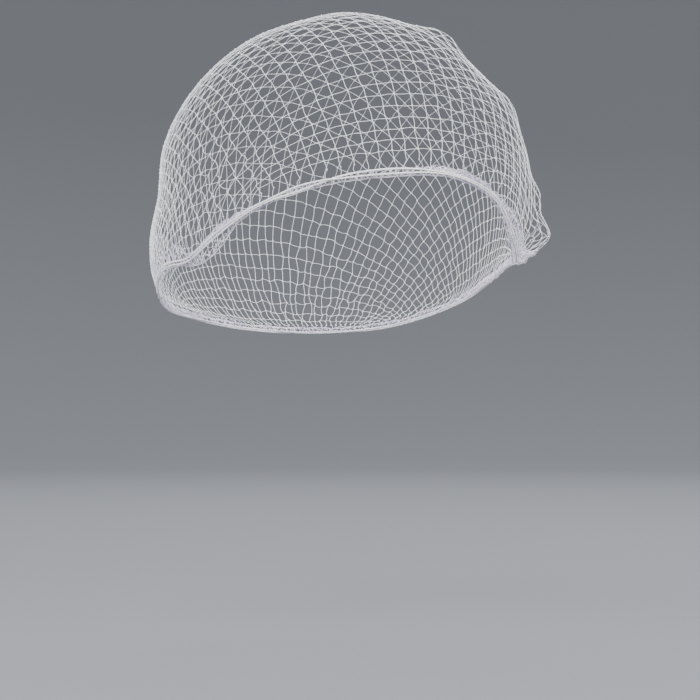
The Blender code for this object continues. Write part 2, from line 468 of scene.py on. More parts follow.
def joined_copies(name: str, template: bpy.types.Mesh, frames: Array) -> bpy.types.Object:
    """Joins many copies of a small mesh into one object.

    Args:
        name: The new object's name.
        template: The mesh to copy, in millimetres. It is removed.
        frames: One 4 by 4 matrix for each copy, in millimetres.

    Returns:
        The joined mesh as an object.
    """
    bm = bmesh.new()
    for frame_of_copy in frames:
        copy = template.copy()
        copy.transform(Matrix.Scale(MM, 4) @ Matrix(frame_of_copy))
        bm.from_mesh(copy)
        bpy.data.meshes.remove(copy)
    bpy.data.meshes.remove(template)
    mesh = bpy.data.meshes.new(name)
    bm.to_mesh(mesh)
    bm.free()
    mesh.shade_smooth()
    obj = bpy.data.objects.new(name, mesh)
    bpy.context.scene.collection.objects.link(obj)
    return obj


def knot_template(ring: float, thickness: float, steps: int, sides: int) -> bpy.types.Mesh:
    """A turn of thread pulled tight, as a ring round the Y axis.

    Args:
        ring: Radius of the ring's centre line.
        thickness: Radius of the thread in it.
        steps: Sides of the ring.
        sides: Sides of the thread.

    Returns:
        A closed mesh of four-sided faces.
    """
    bm = bmesh.new()
    circle = bmesh.ops.create_circle(
        bm, segments=sides, radius=thickness, matrix=Matrix.Translation((ring, 0, 0))
    )
    bmesh.ops.spin(
        bm,
        geom=circle["verts"] + list({e for v in circle["verts"] for e in v.link_edges}),
        cent=(0, 0, 0),
        axis=(0, 1, 0),
        angle=math.tau,
        steps=steps,
        use_merge=True,
    )
    bmesh.ops.recalc_face_normals(bm, faces=bm.faces)
    mesh = bpy.data.meshes.new("knot_template")
    bm.to_mesh(mesh)
    bm.free()
    return mesh


def frames_along(points: Array, along: Array, outward: Array, size: Array) -> Array:
    """Matrices that put a template on a thread.

    Args:
        points: Where each copy goes.
        along: The template's Y axis.
        outward: Roughly the template's Z axis.
        size: Each copy's scale.

    Returns:
        One 4 by 4 matrix for each point.
    """
    y = unit(along)
    x = unit(np.cross(y, outward))
    z = np.cross(x, y)
    frames = np.zeros((len(points), 4, 4))
    for k, axis in enumerate((x, y, z)):
        frames[:, :3, k] = axis * size[:, None]
    frames[:, :3, 3] = points
    frames[:, 3, 3] = 1
    return frames


def linear(hex_colour: str) -> tuple[float, float, float, float]:
    """Turns an sRGB colour into a linear one.

    Args:
        hex_colour: The colour, as #RRGGBB.

    Returns:
        Linear red, green, blue and alpha.
    """
    parts = [int(hex_colour[i : i + 2], 16) / 255 for i in (1, 3, 5)]
    # The sRGB standard's own curve, straight for the darkest tones and a power above them.
    red, green, blue = (p / 12.92 if p <= 0.04045 else ((p + 0.055) / 1.055) ** 2.4 for p in parts)
    return red, green, blue, 1.0


Link = tuple[bpy.types.Node, str]


def add_node(
    tree: bpy.types.NodeTree,
    kind: str,
    settings: dict[str, object] | None = None,
    values: dict[str | int, object] | None = None,
    links: dict[str | int, Link] | None = None,
) -> bpy.types.Node:
    """Adds a node with its settings, unlinked values and links.

    Args:
        tree: The node tree.
        kind: The node's type name.
        settings: Properties of the node itself.
        values: Input socket to value.
        links: Input socket to the node and output socket that feed it.

    Returns:
        The new node.
    """
    node = tree.nodes.new(kind)
    for key, value in (settings or {}).items():
        setattr(node, key, value)
    for key, value in (values or {}).items():
        node.inputs[key].default_value = value
    for key, (source, socket) in (links or {}).items():
        tree.links.new(source.outputs[socket], node.inputs[key])
    return node


@dataclass(frozen=True)
class ThreadFinish:
    """Twisted textile yarn: a pale base that varies along it, and a ply twist as bump.

    The real thing is textured nylon or covered elastic, spun from filaments. To the eye that gives a soft
    white with a faint sheen, a little light through it, and no hard highlight.
    """

    name: str
    # The lighter and darker tones, mixed in random patches. The bunched finish's darker tone is partly
    # painted shade.
    light: str
    shade: str
    roughness: float
    sheen: float
    # The share of the light that goes into the fibres, and how far its red, green and blue spread there.
    through: float
    # The length of thread in which its plies go round once, and how deep the grooves between them are.
    twist_pitch: float
    # The width of a patch of lighter or darker thread.
    blotch: float
    ior: float = 1.53
    sheen_roughness: float = 0.4
    spread: tuple[float, float, float] = (0.4, 0.4, 0.45)
    ply_depth: float = 0.05
    # Between which values of the noise the shade turns to the light colour.
    turn: tuple[float, float] = (0.35, 0.62)

    def build(self) -> bpy.types.Material:
        """Makes the material.

        Returns:
            The material, which reads Object coordinates and each thread's UV map.
        """
        material = bpy.data.materials.new(self.name)
        material.use_nodes = True
        tree = material.node_tree
        shader = tree.nodes["Principled BSDF"]
        shader.inputs["Roughness"].default_value = self.roughness
        shader.inputs["IOR"].default_value = self.ior
        shader.inputs["Sheen Weight"].default_value = self.sheen
        shader.inputs["Sheen Roughness"].default_value = self.sheen_roughness
        shader.inputs["Subsurface Weight"].default_value = self.through
        shader.inputs["Subsurface Radius"].default_value = tuple(s * MM for s in self.spread)
        shader.inputs["Subsurface Scale"].default_value = 1.0
        place = add_node(tree, "ShaderNodeTexCoord")
        # Patches where the filaments lie closer or looser, a few millimetres across. In the bunched finish
        # the darker tone is also painted shade between the layers.
        cloud = add_node(
            tree,
            "ShaderNodeTexNoise",
            values={"Scale": 1 / (self.blotch * MM), "Detail": 2.0, "Roughness": 0.5},
            links={"Vector": (place, "Object")},
        )
        tint = add_node(tree, "ShaderNodeValToRGB", links={"Fac": (cloud, "Fac")})
        low, high = tint.color_ramp.elements
        low.position, high.position = self.turn
        low.color, high.color = linear(self.shade), linear(self.light)
        tree.links.new(tint.outputs["Color"], shader.inputs["Base Color"])
        # The plies' helix: one turn round the thread for each pitch along it.
        parts = add_node(tree, "ShaderNodeSeparateXYZ", links={"Vector": (place, "UV")})
        turns = add_node(
            tree,
            "ShaderNodeMath",
            {"operation": "MULTIPLY_ADD"},
            {1: 1 / (self.twist_pitch * MM)},
            {0: (parts, "Y"), 2: (parts, "X")},
        )
        angle = add_node(
            tree,
            "ShaderNodeMath",
            {"operation": "MULTIPLY"},
            {1: math.tau},
            {0: (turns, "Value")},
        )
        ply = add_node(tree, "ShaderNodeMath", {"operation": "SINE"}, links={0: (angle, "Value")})
        bump = add_node(
            tree,
            "ShaderNodeBump",
            values={"Strength": 0.5, "Distance": self.ply_depth * MM},
            links={"Height": (ply, "Value")},
        )
        tree.links.new(bump.outputs["Normal"], shader.inputs["Normal"])
        return material


# Soft white, nearly even, with the faint gloss of nylon filament.
NET_FINISH = ThreadFinish(
    "white_textured_nylon_thread",
    light="#F4F4F7",
    shade="#E9E8F0",
    roughness=0.42,
    sheen=0.15,
    through=0.2,
    twist_pitch=0.9,
    blotch=18.0,
)
# The same thread in many layers: whitish with a lilac tint, duller, and patchy where it bunches. Its shade
# tone is darker than the open net's as painted shade between the layers.
BUNCH_FINISH = ThreadFinish(
    "bunched_nylon_thread_painted_shade",
    light="#F3F0FA",
    # Darker than the open net's shade tone: painted shade of the bunched layers, on top of the lilac tint.
    shade="#D8CEE8",
    roughness=0.48,
    sheen=0.2,
    through=0.25,
    twist_pitch=0.9,
    blotch=9.0,
)
# Elastic wound round with textured thread: the brightest white on the net, and matt.
ELASTIC_FINISH = ThreadFinish(
    "covered_elastic_thread",
    light="#FAF9FA",
    shade="#EDEAF0",
    roughness=0.6,
    sheen=0.1,
    through=0.1,
    twist_pitch=0.6,
    blotch=6.0,
)


class Stretch(Enum):
    """The stretches of the net's bunched edge, by the solid that each replaces."""

    FRONT = "front_hem"
    RIGHT = "right_gather"
    NAPE = "nape_hem"
    LEFT = "left_gather"

    def plans(self) -> tuple[float, float]:
        """The plan angles at which the stretch starts and ends.

        Returns:
            The start and the end, which is the greater.
        """
        (left_back, left_front), (right_front, right_back) = FORM.left_gather, FORM.right_gather
        return {
            Stretch.FRONT: (left_front, right_front),
            Stretch.RIGHT: (right_front, right_back),
            Stretch.NAPE: (right_back, left_back + 360),
            Stretch.LEFT: (left_back, left_front),
        }[self]


def place_piece(obj: bpy.types.Object, material: bpy.types.Material, slot: str, *nodes: str) -> None:
    """Gives a piece its finish, and says what it rides on and replaces.

    Args:
        obj: The piece.
        material: Its finish.
        slot: Not used.
        nodes: The solids that it replaces.
    """
    obj.data.materials.append(material)
    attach(obj, BODY)
    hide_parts(*nodes)
    triangles = sum(len(p.vertices) - 2 for p in obj.data.polygons)
    LOG.info("%s: %d triangles", obj.name, triangles)


@dataclass(frozen=True)
class ThreadEnds:
    """Where the threads of one direction end: their low and high places in the net, and plan angles."""

    low: Array
    low_plan: Array
    high: Array
    high_plan: Array


@dataclass
class NetCrown:
    """The open knotted net over the crown: threads from side to side, threads front to nape, and knots.

    Rows run from the left side to the right one, and columns from the front to the nape. The net is a
    square with its corners cut off, so its outline has ten corners here, held along the border.
    """

    # The net's corners, going round: column, row, and the plan angle at which that corner is held.
    corners: Table = (
        (14, 0, -36),
        (32, 0, 34),
        (43, 1, 84),
        (54, 9, 102),
        (54, 35, 130),
        (48, 48, 156),
        (8, 48, 230),
        (0, 40, 244),
        (0, 22, 264),
        (8, 9, 298),
    )
    # How much tighter the net is drawn lengthwise at the front and nape, and how fast that fades inwards.
    front_pull: float = 2.4
    nape_pull: float = 1.6
    front_fade: int = 4
    nape_fade: int = 3
    # Rounds of settling.
    rounds: int = 1500
    # How far inside the outline a crossing has to lie, in meshes, and above the border, in degrees.
    margin: float = 0.25
    border_gap: float = 0.3
    # The length of thread from knot to knot.
    mesh: float = 6.6
    row_radius: float = 0.095
    column_radius: float = 0.11
    # The thread is thicker by this much at its knots.
    knot_swell: float = 1.5
    # The ring of thread round a knot, its sides and its thread's, its lean and the range of its size.
    knot_radius: float = 0.29
    knot_steps: int = 6
    knot_sides: int = 4
    knot_lean: float = 0.7
    knot_size: tuple[float, float] = (0.85, 1.25)
    # How far the threads' middles are off the form, and how far a knot strays from its even place.
    lift: float = 0.6
    stray: float = 0.35
    # A knot's stray sideways becomes a plan angle by the size of the ring that it lies on round the form's
    # top. The ring counts as at least this share of the widest one.
    least_ring: float = 0.1
    # Where the net hangs slack: plan angle, tilt, spread in degrees, extra stray.
    slack: Table = ((-50, 88, 11, 1.9), (-62, 78, 10, 0.7), (84, 104, 9, 0.9), (180, 132, 40, 0.5))
    # Spots and creases that the net is pulled to: plan angle, tilt, reach, share of the way.
    pulls: Table = (
        (-71, 84, 5.0, 0.45),
        (-72.5, 89, 5.5, 0.5),
        (-74, 94, 5.5, 0.5),
        (-75, 98, 5.0, 0.45),
        (85, 41, 9.0, 0.4),
    )
    # Where the points of a thread lie between two knots.
    steps: tuple[float, ...] = (0.0, 0.14, 0.38, 0.62, 0.86)
    # The most that a thread bows between two knots, how much more where the net is slack, and the range
    # of its bow sideways and outwards as a share of that.
    bow: float = 0.3
    slack_bow: float = 0.6
    bow_aside: tuple[float, float] = (0.35, 1.0)
    bow_out: tuple[float, float] = (-0.1, 0.5)
    least_spare: float = 0.02
    seed: int = 11

    def ends(self, rows: bool) -> ThreadEnds:
        """Where the rows, or else the columns, end at the net's outline.

        Args:
            rows: Whether the rows are meant.

        Returns:
            The ends of each, in order.
        """
        along, across = (0, 1) if rows else (1, 0)
        corners = np.array(self.corners + ((*self.corners[0][:2], self.corners[0][2] + 360),), float)
        count = int(corners[:, across].max()) + 1
        found = [[] for _ in range(count)]
        for start, end in zip(corners, corners[1:]):
            low, high = sorted((start[across], end[across]))
            for line in range(math.ceil(low), math.floor(high) + 1) if high > low else ():
                share = (line - start[across]) / (end[across] - start[across])
                found[line].append(tuple(mix(start, end, share)[[along, 2]]))
        low, high = (np.array([pick(places) for places in found]) for pick in (min, max))
        return ThreadEnds(low[:, 0], low[:, 1], high[:, 0], high[:, 1])

    @functools.cached_property
    def inside(self) -> Array:
        """Which crossings of rows and columns lie inside the outline.

        Returns:
            A flag for each, by row and column.
        """
        rows, columns = self.ends(True), self.ends(False)
        row, column = np.mgrid[: len(rows.low), : len(columns.low)]
        return (
            (column > rows.low[:, None] + self.margin)
            & (column < rows.high[:, None] - self.margin)
            & (row > columns.low + self.margin)
            & (row < columns.high - self.margin)
        )

    def settled(self) -> tuple[Array, Array]:
        """Lets the net settle between its held ends, in a flat map.

        Returns:
            The plan angle and the tilt of each crossing.
        """
        rows, columns = self.ends(True), self.ends(False)
        count = np.array(self.inside.shape)
        row, column = np.mgrid[: count[0], : count[1]]
        sides = (
            ((0, -1), rows.low_plan),
            ((0, 1), rows.high_plan),
            ((-1, 0), columns.low_plan),
            ((1, 0), columns.high_plan),
        )
        pulls, held = [], []
        for (down, across), plans in sides:
            back = np.clip((row + down / 2) / (count[0] - 1), 0, 1)
            tighter = self.front_pull * (1 - back) ** self.front_fade
            tighter = tighter + self.nape_pull * back**self.nape_fade
            pulls.append(1 + tighter * abs(down))
            ending = self.inside & ~np.roll(self.inside, (-down, -across), axis=(0, 1))
            where = np.nonzero(ending)
            held.append((where, FORM.flat_border(plans[where[1] if down else where[0]])))
        total = sum(pulls)
        flat = np.zeros((*count, 2))
        for _ in range(self.rounds):
            drawn = np.zeros_like(flat)
            for ((down, across), _), pull, (where, ends) in zip(sides, pulls, held):
                beside = np.roll(flat, (-down, -across), axis=(0, 1))
                beside[where] = ends
                drawn += beside * pull[..., None]
            flat = np.where(self.inside[..., None], drawn / total[..., None], 0)
        return np.degrees(np.arctan2(flat[..., 0], -flat[..., 1])), np.linalg.norm(flat, axis=-1)

    def slackness(self, plan: Array, tilt: Array) -> Array:
        """How much further than usual the knots stray.

        Args:
            plan: Plan angles.
            tilt: Tilts.

        Returns:
            The extra stray in each direction.
        """
        heading = FORM.directions(plan, tilt)
        total = np.zeros(plan.shape)
        for slack_plan, slack_tilt, spread, stray in self.slack:
            towards = FORM.directions(np.array(slack_plan), np.array(slack_tilt))
            away = np.degrees(np.arccos(np.clip(heading @ towards, -1, 1)))
            total += stray * np.exp(-((away / spread) ** 2))
        return total

    @functools.cached_property
    def net(self) -> tuple[Array, Array, Array]:
        """The net in place.

        Returns:
            The knots, the form's normals there and the slackness, by row and column.
        """
        rng = np.random.default_rng(self.seed)
        plan, tilt = self.settled()
        slack = self.slackness(plan, tilt)
        aside, down = rng.uniform(-1, 1, (2, *plan.shape)) * (self.stray + slack) / MM_EACH_DEGREE
        plan = plan + aside / np.maximum(np.sin(np.radians(tilt)), self.least_ring)
        tilt = np.minimum(tilt + down, FORM.border_tilt(plan) - self.border_gap)
        points = FORM.point(plan, tilt, self.lift)
        for spot_plan, spot_tilt, reach, share in self.pulls:
            spot = FORM.point(spot_plan, spot_tilt, self.lift)
            gap = np.linalg.norm(points - spot, axis=-1)
            points = points + (spot - points) * (share * np.exp(-((gap / reach) ** 2)))[..., None]
        return points, FORM.normal(plan, tilt), slack

    def thread(self, rng: np.random.Generator, knots: Array, normals: Array, slack: Array) -> Array:
        """One thread through its knots, bowed out between two that are closer than the mesh is long.

        Args:
            rng: Where the random numbers come from.
            knots: The thread's knots and its two ends.
            normals: The form's normal at each.
            slack: How slack the net is at each.

        Returns:
            The thread's points.
        """
        starts, ends = knots[:-1], knots[1:]
        chord = np.linalg.norm(ends - starts, axis=-1)
        spare = np.maximum(self.mesh - chord, self.least_spare)
        # A shallow arc is longer than its chord by 8/3 of its height squared over the chord.
        height = np.sqrt(3 / 8 * chord * spare)
        bow = np.minimum(height, self.bow + self.slack_bow * slack[:-1])
        across = np.cross(normals[:-1], unit(ends - starts))
        aside = rng.choice((-1, 1), len(bow)) * rng.uniform(*self.bow_aside, len(bow)) * bow
        out = rng.uniform(*self.bow_out, len(bow)) * bow
        shift = across * aside[:, None] + normals[:-1] * out[:, None]
        # Between two knots the bow follows a parabola, which reaches the full shift halfway.
        points = [
            FORM.laid_on(mix(starts, ends, t), self.lift) + shift * (4 * t * (1 - t))
            for t in self.steps
        ]
        return np.vstack([np.stack(points, axis=1).reshape(-1, 3), knots[-1:]])

    def threads(self, rows: bool) -> list[Thread]:
        """All the rows, or else all the columns.

        Args:
            rows: Whether the rows are meant.

        Returns:
            The threads, from border to border.
        """
        rng = np.random.default_rng(self.seed + (1 if rows else 2))
        grids = (*self.net, self.inside)
        points, normals, slack, inside = grids if rows else (a.swapaxes(0, 1) for a in grids)
        ends = self.ends(rows)
        found = []
        for line, (low, high) in enumerate(zip(ends.low_plan, ends.high_plan)):
            plans = np.array((low, high))
            tilts = FORM.border_tilt(plans)
            held, out = FORM.point(plans, tilts, self.lift), FORM.normal(plans, tilts)
            on = inside[line]
            if on.any():
                knots = np.vstack([held[:1], points[line, on], held[1:]])
                facing = np.vstack([out[:1], normals[line, on], out[1:]])
                path = self.thread(rng, knots, facing, np.pad(slack[line, on], 1))
                radius = np.full(len(path), self.row_radius if rows else self.column_radius)
                radius[:: len(self.steps)] *= self.knot_swell
                found.append(Thread(path, radius))
        return found

    @functools.cached_property
    def held(self) -> Array:
        """The plan angles at which the threads reach the open net's border."""
        ends = self.ends(True), self.ends(False)
        return np.concatenate([plans for e in ends for plans in (e.low_plan, e.high_plan)])

    def held_plans(self, stretch: Stretch) -> Array:
        """The plan angles at which the net's threads reach a stretch of its edge.

        Args:
            stretch: The stretch.

        Returns:
            The plan angles, in order.
        """
        start, end = stretch.plans()
        # A row and a column that end at the same corner of the net count once.
        digits = 2
        plans = np.unique(np.round((self.held - start) % 360 + start, digits))
        return plans[plans < end]

    def knots(self) -> bpy.types.Object:
        """A small turn of thread round every crossing, and round every thread at the border.

        Returns:
            The knots as one object.
        """
        rng = np.random.default_rng(self.seed + 3)
        points, normals, _ = self.net
        on = self.inside
        along = unit(np.gradient(points, axis=0))[on]
        across = unit(np.gradient(points, axis=1))[on]
        along = along + across * rng.uniform(-self.knot_lean, self.knot_lean, (len(along), 1))
        border = FORM.border_tilt(self.held)
        ends = FORM.point(self.held, border, self.lift)
        down = FORM.point(self.held, border + FORM.slant_step, self.lift) - ends
        frames = frames_along(
            np.vstack([points[on], ends]),
            np.vstack([along, unit(down)]),
            np.vstack([normals[on], FORM.normal(self.held, border)]),
            rng.uniform(*self.knot_size, len(along) + len(ends)),
        )
        template = knot_template(self.knot_radius, self.column_radius, self.knot_steps, self.knot_sides)
        return joined_copies("net_knots", template, frames)

    def build(self, material: bpy.types.Material) -> None:
        """Makes the threads and the knots.

        Args:
            material: Their finish.
        """
        for rows, name in ((True, "side_to_side_threads"), (False, "front_to_nape_threads")):
            place_piece(thread_object(name, self.threads(rows)), material, "nylon_net", "net_crown")
        place_piece(self.knots(), material, "nylon_net", "net_crown")


@dataclass
class BunchedEdge:
    """The net's edge, crumpled on the elastic, with a frill of open meshes below it."""

    # The threads' radius, how far it varies from one to the next, and how far off the form they lie.
    thread_radius: float = 0.095
    varying: tuple[float, float] = (0.85, 1.15)
    lift: float = 0.6
    lowest_lift: float = 0.25
    # How the net bunches round the edge.
    bunching: SmoothTable = SmoothTable(
        ("curls", "share", "hanging", "frill", "thick"),
        (
            # plan angle, curled threads above the elastic, share of the width that they fill,
            # curled threads below it, depth of the frill, thickness of the bunch
            (-180, 3, 0.7, 1.0, 1.8, 1.2),
            (-120, 3, 0.7, 1.0, 2.0, 1.4),
            (-100, 4, 0.8, 1.0, 2.2, 1.7),
            (-80, 4, 0.9, 1.0, 2.0, 2.2),
            (-70, 3, 0.85, 0.8, 1.6, 1.9),
            (-66, 3, 0.45, 0.8, 2.2, 1.5),
            (-59, 4, 0.3, 0.9, 4.8, 1.3),
            (-53, 5, 0.65, 1.2, 6.0, 1.3),
            (-48, 6, 0.85, 1.2, 4.6, 1.2),
            (-44, 4, 0.75, 0.8, 1.6, 1.1),
            (-41, 3, 0.5, 0.7, 1.1, 0.9),
            (-34, 1, 0.3, 0.6, 1.1, 0.7),
            (-20, 1, 0.25, 0.8, 1.7, 0.7),
            (0, 1, 0.3, 1.4, 2.2, 0.8),
            (11, 2, 0.6, 0.8, 1.6, 0.9),
            (20, 7, 0.95, 0.6, 0.9, 1.0),
            (38, 7, 0.95, 0.6, 0.9, 1.1),
            (47, 5, 0.8, 0.8, 1.2, 1.3),
            (58, 8, 0.8, 1.4, 2.0, 1.9),
            (74, 11, 0.8, 1.8, 2.6, 2.5),
            (100, 7, 0.9, 1.2, 2.3, 2.2),
            (128, 4, 0.7, 1.0, 2.0, 1.6),
            (150, 3, 0.7, 1.0, 1.8, 1.3),
        ),
        period=360.0,
    )
    # A curled thread's loops: their radius and pitch, where they lie across the band, how far they lean
    # along it, and where they lie in the bunch's thickness.
    curl_radius: Course = (0.45, 1.35, 7.0)
    curl_pitch: Course = (1.8, 3.6, 9.0)
    curl_place: Course = (0.0, 1.0, 12.0)
    curl_lean: Course = (0.6, 1.5, 8.0)
    curl_depth: Course = (0.0, 0.8, 6.0)
    # The most of the band's width that a loop's radius takes, and how much of it the loop stands out.
    curl_most: float = 0.45
    curl_out: float = 0.35
    curl_step: float = 0.3
    # How far off the form the meshes' threads go round the elastic.
    elastic_lift: float = 2.2
    # The fewest places that such a thread goes through, and the points from one place to the next.
    fewest_places: int = 3
    points_each_mesh: int = 4
    # The meshes above the elastic: their height, zigzag and stray, and how far they stand out.
    upper_mesh: float = 3.2
    upper_zigzag: float = 1.5
    upper_stray: float = 0.7
    upper_out: float = 0.9
    # The frill's meshes below it. Their zigzag is a share of the spacing.
    frill_spacing: float = 2.6
    frill_mesh: float = 1.7
    frill_zigzag: float = 0.9
    frill_stray: float = 0.35
    frill_out: float = 0.8
    # The frill's rim is a double thread: its places as shares of the depth, how it waves and stands out.
    rim_places: tuple[float, float] = (1.0, 0.92)
    rim_wave: Course = (-0.25, 0.25, 5.0)
    rim_out: Course = (0.0, 0.6, 6.0)
    rim_thickness: float = 1.3
    rim_step: float = 0.9
    curl_seed: int = 41
    mesh_seed: int = 61

    def spans(self, stretch: Stretch, column: str, rank: int) -> list[tuple[float, float]]:
        """The spans of plan angle in which a stretch has more than so many curled threads.

        Args:
            stretch: The stretch.
            column: Which side of the elastic they run on, "curls" or "hanging".
            rank: How many.

        Returns:
            Each span's start and end.
        """
        places, shortest = 400, 8
        plan = np.linspace(*stretch.plans(), places)
        on = self.bunching.read(plan, column) > rank + 0.5
        flips = np.flatnonzero(np.diff(on.astype(int))) + 1
        parts = np.split(np.arange(places), flips)
        return [(plan[p[0]], plan[p[-1]]) for p in parts if on[p[0]] and len(p) > shortest]

    def curled(self, rng: np.random.Generator, start: float, end: float, column: str) -> Thread:
        """One thread of the crumpled net, running along the elastic in loops.

        Args:
            rng: Where the random numbers come from.
            start: The plan angle at which it starts.
            end: The plan angle at which it ends.
            column: Which side of the elastic it runs on, "curls" or "hanging".

        Returns:
            The thread.
        """
        plan, run = FORM.along_edge(start, end, self.curl_step)
        if column == "curls":
            side, band = 1, FORM.edge.read(plan, "above") * self.bunching.read(plan, "share")
        else:
            side, band = -1, self.bunching.read(plan, "frill")
        radius = np.minimum(wander(rng, run, self.curl_radius), band * self.curl_most)
        pitch = wander(rng, run, self.curl_pitch)
        step = run[1] - run[0]
        phase = rng.uniform(0, math.tau) + np.cumsum(math.tau * step / pitch)
        middle = radius + (band - 2 * radius) * wander(rng, run, self.curl_place)
        width = side * (middle + radius * np.cos(phase))
        lean = wander(rng, run, self.curl_lean) * radius * np.sin(phase)
        degrees = (plan[-1] - plan[0]) / run[-1]
        depth = self.bunching.read(plan, "thick") * wander(rng, run, self.curl_depth)
        # The thread stands out through one loop and lies low through the next, so that they overlap.
        lift = self.lift + depth + self.curl_out * radius * np.sin(phase / 2)
        plan = np.clip(plan + lean * degrees, start, end)
        points = FORM.point(plan, FORM.off_edge(plan, width), np.maximum(lift, self.lowest_lift))
        return Thread(points, np.full(len(plan), self.thread_radius * rng.uniform(*self.varying)))

    def curls(self, stretch: Stretch) -> list[Thread]:
        """The crumpled net of a stretch.

        Args:
            stretch: The stretch.

        Returns:
            Its curled threads, above the elastic and then below it.
        """
        rng = np.random.default_rng(self.curl_seed + list(Stretch).index(stretch))
        threads = []
        for column in ("curls", "hanging"):
            most = int(max(row[1 + self.bunching.columns.index(column)] for row in self.bunching.rows))
            for rank in range(most + 1):
                for start, end in self.spans(stretch, column, rank):
                    threads.append(self.curled(rng, start, end, column))
        return threads

    def zigzag(self, rng: np.random.Generator, rank: int, count: int, width: float, stray: float) -> Array:
        """A zigzag across a thread's way, begun on the other side in every second thread.

        Args:
            rng: Where the random numbers come from.
            rank: The thread's place among its neighbours.
            count: How many places it has.
            width: The zigzag's width.
            stray: How far each place strays.

        Returns:
            How far each place is aside, in degrees of plan angle.
        """
        even = (np.arange(count) % 2 - 0.5) * (1 if rank % 2 else -1) * width
        return (even + rng.uniform(-stray, stray, count)) / MM_EACH_DEGREE

    def upper_meshes(self, rng: np.random.Generator, plans: Array) -> list[Thread]:
        """The net's own threads from the border down to the elastic, in a small zigzag.

        Args:
            rng: Where the random numbers come from.
            plans: The plan angles at which they leave the border.

        Returns:
            The threads.
        """
        threads = []
        for rank, plan in enumerate(plans):
            above = float(FORM.edge.read(plan, "above")) + FORM.piece_gap
            count = max(self.fewest_places, round(above / self.upper_mesh) + 1)
            aside = self.zigzag(rng, rank, count, self.upper_zigzag, self.upper_stray)
            aside[0] = 0
            lifts = self.lift + rng.uniform(0, self.upper_out, count)
            lifts[0], lifts[-1] = self.lift, self.elastic_lift
            threads.append(self.mesh_thread(plan + aside, np.linspace(1, 0, count) * above, lifts))
        return threads

    def frill(self, rng: np.random.Generator, stretch: Stretch) -> list[Thread]:
        """Open meshes below the elastic, with the net's outermost thread as their rim.

        Args:
            rng: Where the random numbers come from.
            stretch: The stretch.

        Returns:
            The threads, with the rim's two last.
        """
        start, end = stretch.plans()
        plans, _ = FORM.along_edge(start, end, self.frill_spacing)
        width = self.frill_zigzag * self.frill_spacing
        threads = []
        for rank, plan in enumerate(plans):
            depth = float(self.bunching.read(plan, "frill"))
            count = max(self.fewest_places, round(depth / self.frill_mesh) + 2)
            aside = self.zigzag(rng, rank, count, width, self.frill_stray)
            lifts = self.lift + rng.uniform(0, self.frill_out, count)
            lifts[0] = self.elastic_lift
            there = np.clip(plan + aside, start, end)
            depths = np.linspace(0, 1, count) * self.bunching.read(there, "frill")
            threads.append(self.mesh_thread(there, -depths, lifts))
        plan, run = FORM.along_edge(start, end, self.rim_step)
        for share in self.rim_places:
            away = -share * self.bunching.read(plan, "frill") + wander(rng, run, self.rim_wave)
            lift = self.lift + wander(rng, run, self.rim_out)
            points = FORM.point(plan, FORM.off_edge(plan, away), lift)
            threads.append(Thread(points, np.full(len(plan), self.thread_radius * self.rim_thickness)))
        return threads

    def mesh_thread(self, plans: Array, widths: Array, lifts: Array) -> Thread:
        """A thread along a smooth curve through a few places off the elastic.

        Args:
            plans: The places' plan angles.
            widths: How far up from the elastic they are, or down if negative.
            lifts: How far off the net's inner face they are.

        Returns:
            The thread.
        """
        columns = ("plan", "width", "lift")
        places = SmoothTable(columns, tuple(zip(range(len(plans)), plans, widths, lifts)))
        share = np.linspace(0, len(plans) - 1, self.points_each_mesh * (len(plans) - 1) + 1)
        plan, width, lift = (places.read(share, column) for column in columns)
        points = FORM.point(plan, FORM.off_edge(plan, width), lift)
        return Thread(points, np.full(len(points), self.thread_radius))

    def build(self, crown: NetCrown, material: bpy.types.Material) -> None:
        """Makes the crumpled threads, the meshes and the frill of every stretch.

        Args:
            crown: The open net that the meshes hang from.
            material: Their finish.
        """
        for stretch in Stretch:
            rng = np.random.default_rng(self.mesh_seed + list(Stretch).index(stretch))
            name = stretch.value
            net = self.upper_meshes(rng, crown.held_plans(stretch)) + self.frill(rng, stretch)
            place_piece(thread_object(f"{name}_meshes", net), material, "bunched_net", name)
            curls = thread_object(f"{name}_curls", self.curls(stretch))
            place_piece(curls, material, "bunched_net", name)


@dataclass(frozen=True)
class ElasticLine:
    """The closed line between the two cords: places along it, and its length."""

    plans: Array
    points: Array
    normals: Array
    up: Array
    length: float


